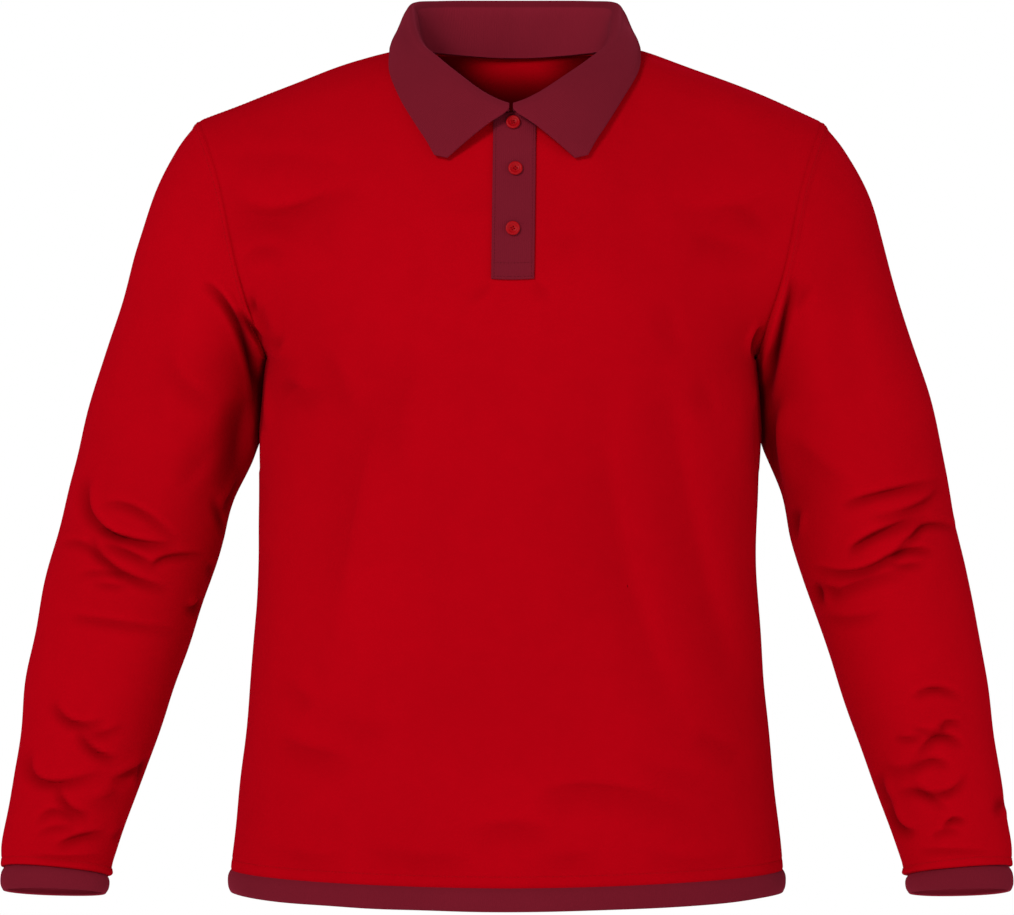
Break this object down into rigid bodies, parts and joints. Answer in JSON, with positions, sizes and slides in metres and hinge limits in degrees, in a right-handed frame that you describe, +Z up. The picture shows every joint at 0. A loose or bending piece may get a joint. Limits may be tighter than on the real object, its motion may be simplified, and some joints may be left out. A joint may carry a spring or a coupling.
{
  "type": "long-sleeved golf shirt",
  "caption": "Long-sleeved knit golf shirt filled out as worn, with a contrasting fold-over collar, buttoned placket, cuffs and hem band, all openings empty.",
  "frame": {"origin": "midway between the two neck points, where the shoulder seams meet the collar", "axes": "+X towards the wearer's left, +Y towards the wearer's back, +Z up"},
  "size_m": [0.8206, 0.2544, 0.7505],
  "materials": {
    "red_knit": "fine smooth knit, matte with a soft sheen",
    "maroon_rib": "matte flat knit",
    "button_red": "satin"
  },
  "bodies": {
    "root": {"front": "red_knit", "back": "red_knit", "sleeve_left": "red_knit", "sleeve_right": "red_knit", "collar": "maroon_rib", "placket": "maroon_rib", "placket_under": "maroon_rib", "cuff_left": "maroon_rib", "cuff_right": "maroon_rib", "hem_band": "maroon_rib", "button_1": "button_red", "button_2": "button_red", "button_3": "button_red"}
  },
  "joints": []
}
